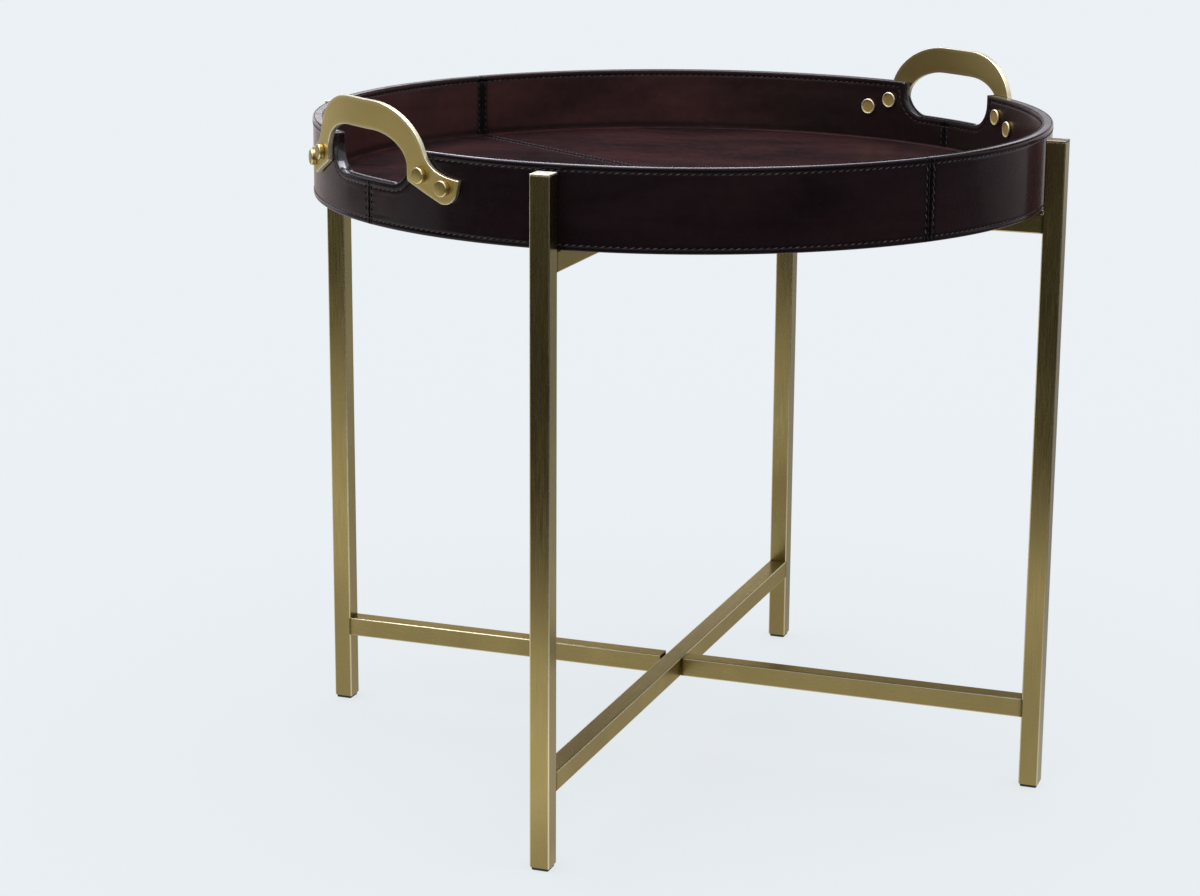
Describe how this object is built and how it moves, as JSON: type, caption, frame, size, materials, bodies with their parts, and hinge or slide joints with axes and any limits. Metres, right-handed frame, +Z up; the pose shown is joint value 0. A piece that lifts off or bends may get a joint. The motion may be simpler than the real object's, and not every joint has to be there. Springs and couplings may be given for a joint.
{
  "type": "butler tray table",
  "caption": "Round leather-covered butler tray with riveted brass handles, standing loose on a stand of crossed square brass tube.",
  "frame": {"origin": "on the floor, under the middle of the table", "axes": "+Z up; +X runs from the middle to the right leg and +Y to the back leg, with the front leg towards the viewer of the picture"},
  "size_m": [0.636, 0.636, 0.5733],
  "materials": {
    "stand_brass": "antique, brushed lengthwise, clear lacquer",
    "handle_brass": "antique, brushed face with polished edges",
    "glide_plastic": "moulded, matt",
    "wood_core": "plain plywood, unfinished",
    "leather_wall": "smooth dark oxblood hide, glossy",
    "leather_lining": "smooth oxblood hide, glossy",
    "leather_floor": "smooth reddish-brown hide, semi-gloss",
    "leather_underside": "plain dark hide, matt"
  },
  "bodies": {
    "stand": {"leg_front": "stand_brass", "leg_right": "stand_brass", "leg_back": "stand_brass", "leg_left": "stand_brass", "leg_cap_front": "stand_brass", "leg_cap_right": "stand_brass", "leg_cap_back": "stand_brass", "leg_cap_left": "stand_brass", "glide_front": "glide_plastic", "glide_right": "glide_plastic", "glide_back": "glide_plastic", "glide_left": "glide_plastic", "lower_bar_front_back": "stand_brass", "lower_bar_left_right": "stand_brass", "upper_bar_front_back": "stand_brass", "upper_bar_left_right": "stand_brass"},
    "tray": {"base_board": "wood_core", "rim_hoop": "wood_core", "underside_cover": "leather_underside", "floor_leather_right": "leather_floor", "floor_leather_left": "leather_floor", "wall_leather_back": "leather_wall", "wall_leather_left": "leather_wall", "wall_leather_front": "leather_wall", "wall_leather_right": "leather_wall", "lining_back": "leather_lining", "lining_left": "leather_lining", "lining_front": "leather_lining", "lining_right": "leather_lining", "cutout_edging_right": "leather_wall", "cutout_edging_left": "leather_wall", "handle_right": "handle_brass", "handle_left": "handle_brass", "rivet_right_1": "handle_brass", "rivet_right_2": "handle_brass", "rivet_right_3": "handle_brass", "rivet_right_4": "handle_brass", "rivet_left_1": "handle_brass", "rivet_left_2": "handle_brass", "rivet_left_3": "handle_brass", "rivet_left_4": "handle_brass", "rivet_cap_right_1": "handle_brass", "rivet_cap_right_2": "handle_brass", "rivet_cap_right_3": "handle_brass", "rivet_cap_right_4": "handle_brass", "rivet_cap_left_1": "handle_brass", "rivet_cap_left_2": "handle_brass", "rivet_cap_left_3": "handle_brass", "rivet_cap_left_4": "handle_brass"}
  },
  "joints": [
    {"name": "tray_lift", "type": "slide", "parent": "stand", "child": "tray", "axis": [0, 0, 1], "range_m": [0, 0.12]}
  ]
}
